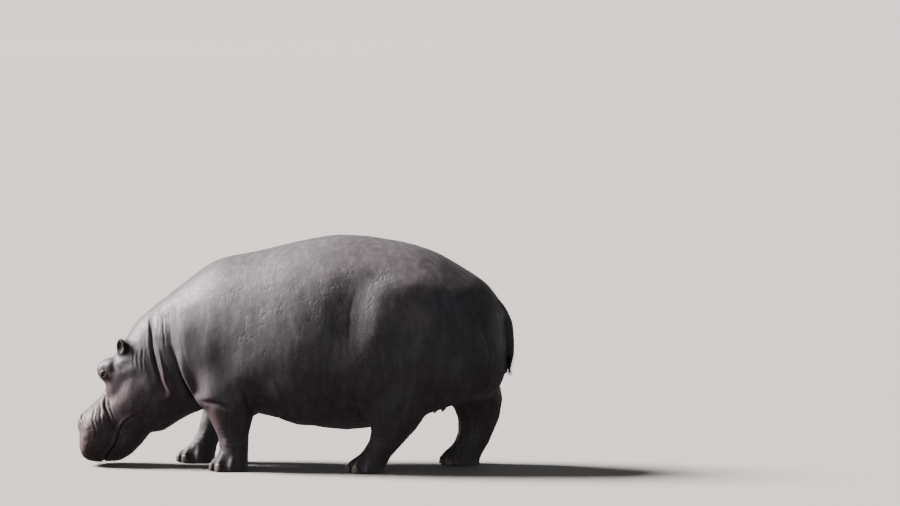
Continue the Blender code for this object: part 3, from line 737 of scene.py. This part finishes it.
def toes(points):
    """Four toes on each foot: soft lobes over the nails and creases between them."""
    moved = np.zeros(len(points))
    for sole, nails in FEET:
        offset = points - np.array(sole)
        near = (np.hypot(offset[:, 0], offset[:, 1]) < 0.20) & (offset[:, 2] < 0.16)
        offset = offset[near]
        lobes, front = np.zeros(len(offset)), np.zeros(len(offset))
        for ahead in nails.values():
            along = offset[:, :2] @ np.array(ahead.xy)
            across = offset[:, 0] * ahead.y - offset[:, 1] * ahead.x
            front = np.maximum(front, ease(along, 0.04, 0.08) * ease(np.abs(across), 0.08, 0.05))
            lobes = np.maximum(lobes, bell(across, 0.024) * ease(along, 0.03, 0.07))
        height = ease(offset[:, 2], 0.14, 0.08)
        above = ease(offset[:, 2], 0.035, 0.065)
        moved[near] = height * (0.010 * lobes * above - 0.009 * (1 - lobes) * front)
    return moved


def hang_teats(points):
    """Two pairs of teats under the belly, between the thighs, each on a low swelling."""
    for x, y in TEATS:
        for side in (-1, 1):
            gap = np.hypot(points[:, 0] - x, points[:, 1] - side * y)
            under = points[:, 2] < 0.50
            teat = TEAT_LENGTH * np.exp(-((gap / TEAT_RADIUS) ** 4))
            points[:, 2] -= under * (0.008 * bell(gap, 0.030) + teat)
    return points


def round_tail(points):
    """Narrows the tail's last hand's breadth to a blunt, flattened tip."""
    low, high = (np.array(corner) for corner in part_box("tail"))
    rear = (points[:, 0] > 1.30) & (points[:, 2] > low[2] - 0.02)
    tip = ease(points[:, 2], low[2] + 0.14, low[2]) * rear
    chosen = (np.abs(points[:, 1]) < high[1] + 0.01) & (tip > 0)
    axis = points[chosen, 0].mean()
    points[chosen, 1] *= 1 - 0.45 * tip[chosen] ** 2
    points[chosen, 0] += (axis - points[chosen, 0]) * 0.5 * tip[chosen] ** 2
    return points


def shape_skin(skin):
    """All the hide's forms and folds, the coarse ones first. Faces are divided where the small ones
    come, and the soles are flat on the floor."""
    write(skin, read(skin) + read(skin, "normal") * body_relief(read(skin))[:, None])
    centres = [np.array(centre) for centre in EYES.values()]
    ears = [np.array(middle(name)) for name in ("ear_left", "ear_right")]
    slits = [np.array(on_head(0.680, side * 0.115, 0.020)) for side in (-1, 1)]

    def features(middles):
        head = head_places(middles)
        lips = (head[:, 0] > 0.56) & (head[:, 2] > 0.22) & (head[:, 2] < 0.34)
        toe_band = (middles[:, 2] < 0.085) & (middles[:, 0] > -0.9)
        udder = (np.abs(middles[:, 0] - 0.93) < 0.06) & (np.abs(middles[:, 1]) < 0.09)
        chosen = lips | toe_band | (udder & (middles[:, 2] < 0.5))
        for place in centres + ears:
            chosen |= np.linalg.norm(middles - place, axis=1) < 0.085
        return chosen

    def fine_features(middles):
        chosen = np.zeros(len(middles), bool)
        for place, size in [(c, 0.045) for c in centres] + [(c, 0.055) for c in slits]:
            chosen |= np.linalg.norm(middles - place, axis=1) < size
        return chosen

    divide(skin, features)
    divide(skin, fine_features)
    apply(skin, "SMOOTH", factor=0.5, iterations=3)
    for stroke in (body_folds, head_relief, nostrils, wrinkles, toes):
        points = read(skin)
        write(skin, points + read(skin, "normal") * stroke(points)[:, None])
    points = round_tail(hang_teats(shape_lids(read(skin))))
    points[:, 2] = np.maximum(points[:, 2], 0)
    write(skin, points)


def thin_out(skin):
    """Fewer faces: the flat stretches give up most of theirs, and the folds keep them."""
    count = sum(len(face.vertices) - 2 for face in skin.data.polygons)
    apply(skin, "DECIMATE", decimate_type="COLLAPSE", ratio=SKIN_FACES / count,
          use_collapse_triangulate=True)


def mark(obj, name, values):
    attribute = obj.data.attributes.new(name, "FLOAT", "POINT")
    attribute.data.foreach_set("value", values.astype(np.float32))


def colour_skin(skin):
    """Where the hide is brown-pink, where painted shade darkens its folds, ears, nostrils and the
    parts nearest the floor, where the lips' pores are and where it lies slack."""
    points, facing = read(skin), read(skin, "normal")
    head = head_places(points)
    # how deep each fold lies: it tints the folds pink and darkens them with painted shade
    deep = -(body_folds(points) + head_relief(points))
    creased = ease(deep, 0.002, 0.012)

    belly = ease(facing[:, 2], 0.15, -0.70) * ease(points[:, 2], 0.95, 0.50)
    muzzle = ease(head[:, 0], 0.42, 0.60)
    throat = ease(points[:, 0], -0.60, -0.80) * ease(points[:, 2], 0.75, 0.45)
    eyes = sum(
        ease(np.linalg.norm(points - np.array(centre), axis=1), 0.075, 0.030)
        for centre in EYES.values()
    )
    patches = 0.25 * rough(points, 0.30, 12.0) + 0.15 * rough(points, 0.08, 13.0)
    pink = 0.9 * belly + 0.14 * muzzle + 0.4 * creased + 0.25 * eyes + 0.4 * throat + patches
    mark(skin, "pink", np.clip(pink, 0, 1))

    # painted shade over the ears and in their cups
    ears = sum(
        ease(np.linalg.norm(points - np.array(middle(name)), axis=1), 0.076, 0.056)
        for name in ("ear_left", "ear_right")
    )
    # painted shade in the nostril slits
    slits = ease(-nostrils(points), 0.002, 0.010)
    # painted shade: darker towards the floor, on the feet and the lowered muzzle
    low_shade = 0.22 * ease(points[:, 2], 0.22, 0.10)
    mark(skin, "shade", np.clip(0.55 * creased + 0.80 * ears + 0.9 * slits + low_shade, 0, 1))

    mark(skin, "lip", ease(head[:, 0], 0.54, 0.66) * ease(head[:, 2], -0.02, 0.06))
    flanks = ease(points[:, 2], 0.50, 0.75) * ease(points[:, 2], 1.45, 1.25)
    flanks *= ease(points[:, 0], 1.0, 0.5) * ease(points[:, 0], -0.6, -0.3)
    mark(skin, "slack", np.clip(flanks, 0, 1))


# ---------------------------------------------------------------- eyes and nails


def eyeball(name, side):
    """An eye with its cornea, standing where the socket's lids leave it bare."""
    bpy.ops.mesh.primitive_uv_sphere_add(segments=48, ring_count=32, radius=EYE_RADIUS)
    eye = bpy.context.object
    eye.name = eye.data.name = name + "_wet"
    points = read(eye)
    tilt = np.arccos(np.clip(points[:, 2] / EYE_RADIUS, -1, 1))
    points *= (1 + CORNEA_RISE * bell(tilt, 0.55))[:, None]
    out = eye_axes(side)[0]
    turn = np.array(out.to_track_quat("Z", "Y").to_matrix())
    write(eye, points @ turn.T + np.array(EYES[side]))
    mark(eye, "gaze", tilt)
    bpy.ops.object.shade_smooth()
    return eye


def toenail(name, ahead):
    """A broad blunt nail: a rounded plate bent round its toe, wider and further out below."""
    bpy.ops.mesh.primitive_uv_sphere_add(segments=40, ring_count=28, radius=1)
    nail = bpy.context.object
    nail.name = nail.data.name = name + "_horn"
    low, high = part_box(name)
    unit = read(nail)
    unit /= (np.abs(unit) ** 3).sum(axis=1)[:, None] ** (1 / 3)
    rise = unit[:, 2] * (high.z - low.z) / 2
    across = unit[:, 1] * (NAIL_HALF_WIDTH - 0.0035 * unit[:, 2])
    out = unit[:, 0] * NAIL_HALF_THICKNESS - 0.0035 * unit[:, 2] - 0.0060 * unit[:, 1] ** 2 + 0.002
    beside = np.array((-ahead.y, ahead.x, 0))
    centre = np.array((low + high) / 2)
    write(nail, centre + out[:, None] * np.array(ahead) + across[:, None] * beside
          + rise[:, None] * np.array((0, 0, 1)))
    bpy.ops.object.shade_smooth()
    return nail


def bristles(name, roots, leans, lengths, girth, unwrap):
    """Stiff hairs as thin bent cones in one mesh. Each has its own small patch of the map, at the
    place that unwrap gives for its root."""
    corners, faces, patches = [], [], []
    for number, (root, lean, length) in enumerate(zip(roots, leans, lengths)):
        beside = np.cross(lean, (0.31, 0.87, 0.38))
        beside /= np.linalg.norm(beside)
        over = np.cross(beside, lean)
        first, place = len(corners), unwrap(root)
        for share, width in ((-0.06, 1.0), (0.40, 0.75), (0.75, 0.42)):
            centre = root + lean * length * share + over * length * 0.16 * share**2
            for k in range(4):
                turn = math.pi * k / 2 + number
                ring = beside * math.cos(turn) + over * math.sin(turn)
                corners.append(centre + ring * girth * width)
                patches.append((place[0] + PATCH_RADIUS * width * math.cos(turn),
                                place[1] + PATCH_RADIUS * width * math.sin(turn)))
        corners.append(root + lean * length + over * length * 0.16)
        patches.append(place)
        faces.append([first + k for k in (3, 2, 1, 0)])
        for k in range(4):
            after = (k + 1) % 4
            faces += [
                [first + k, first + after, first + 4 + after, first + 4 + k],
                [first + 4 + k, first + 4 + after, first + 8 + after, first + 8 + k],
                [first + 8 + k, first + 8 + after, first + 12],
            ]
    mesh = bpy.data.meshes.new(name)
    mesh.from_pydata(corners, [], faces)
    layer = mesh.uv_layers.new(name="OFBake")
    for loop in mesh.loops:
        layer.data[loop.index].uv = patches[loop.vertex_index]
    made = bpy.data.objects.new(name, mesh)
    bpy.context.scene.collection.objects.link(made)
    return made


def stray(numbers, step):
    """A share from 0 to 1 for each number, spread evenly but without a pattern."""
    return np.modf(numbers * EVEN_STEPS[step])[0]


def grow_bristles(skin):
    """Sparse bristles on the lips and chin, a fringe on the ears, and the tail's two combs."""
    points, facing = read(skin), read(skin, "normal")
    head = head_places(points)
    brown = stiff_bristle("brown_bristle", "#30271f", "#5a4d3e")
    black = stiff_bristle("black_bristle", "#14100e", "#2e2621")

    def around_head(place):
        forward, side, down = head_places(place[None, :])[0]
        return 0.5 + math.atan2(side, down - 0.15) / 7, 0.05 + 0.9 * forward

    def around_tail(place):
        return 0.5 + math.atan2(place[1], place[0] - 1.36) / 7, 0.3 + 0.5 * place[2]

    def grow(name, chosen, count, shortest, longest, girth, lay, unwrap, finish):
        """One piece of bristles, which stand off the skin and lean towards lay."""
        places = np.nonzero(chosen)[0]
        picked = places[np.argsort(stray(places, 0))[:count]]
        strays = np.stack([stray(picked, step) - 0.5 for step in (2, 3, 4)], axis=1)
        leans = facing[picked] + lay + 0.25 * strays
        leans /= np.linalg.norm(leans, axis=1)[:, None]
        lengths = shortest + (longest - shortest) * stray(picked, 1)
        lengths = np.minimum(lengths, 0.7 * points[picked, 2])  # short of the floor
        dress(bristles(name, points[picked], leans, lengths, girth, unwrap), finish, "skin")

    lips = (head[:, 0] > 0.60) & (head[:, 2] > 0.05)
    down = np.array(HEAD_DOWN) * 0.3 + np.array(HEAD_FORWARD) * 0.3
    up, hang = np.array((0, 0, 0.9)), np.array((0.25, 0, -1.6))
    grow("bristles_lips", lips, 650, 0.008, 0.026, 0.0006, down, around_head, brown)
    for name in ("ear_left", "ear_right"):
        low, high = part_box(name)
        ear = np.all((points > np.array(low) - 0.004) & (points < np.array(high) + 0.004), axis=1)
        ear &= points[:, 2] > low.z + 0.045
        grow("bristles_" + name, ear, 150, 0.007, 0.016, 0.0005, up, around_head, black)
    low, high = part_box("tail")
    tail = (points[:, 0] > 1.35) & (points[:, 2] > low.z - 0.01) & (points[:, 2] < low.z + 0.12)
    edges_and_tip = np.abs(facing[:, 1]) + 2 * (facing[:, 2] < -0.5) > 0.65
    tail &= (np.abs(points[:, 1]) < high.y + 0.004) & edges_and_tip
    grow("bristles_tail", tail, 220, 0.028, 0.056, 0.0008, hang, around_tail, black)


def dress(piece, finish, slot, *nodes):
    """Gives a finished piece its material and the body it rides on; its slot is not used."""
    piece.data.materials.clear()
    piece.data.materials.append(finish)
    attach(piece, "root")
    if nodes:
        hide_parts(*nodes)


place_camera()
studio()
skin = skin_blank()
even_out(skin)
shape_skin(skin)
thin_out(skin)
colour_skin(skin)
bpy.ops.object.shade_smooth()
dress(skin, hippopotamus_hide(), "skin", *FLESH)
eye_finish, horn = wet_eye(), toenail_horn()
for side, hand in ((-1, "left"), (1, "right")):
    dress(eyeball(f"eye_{hand}", side), eye_finish, "eye", f"eye_{hand}")
for _, nails in FEET:
    for name, ahead in nails.items():
        dress(toenail(name, ahead), horn, "nail", name)
grow_bristles(skin)
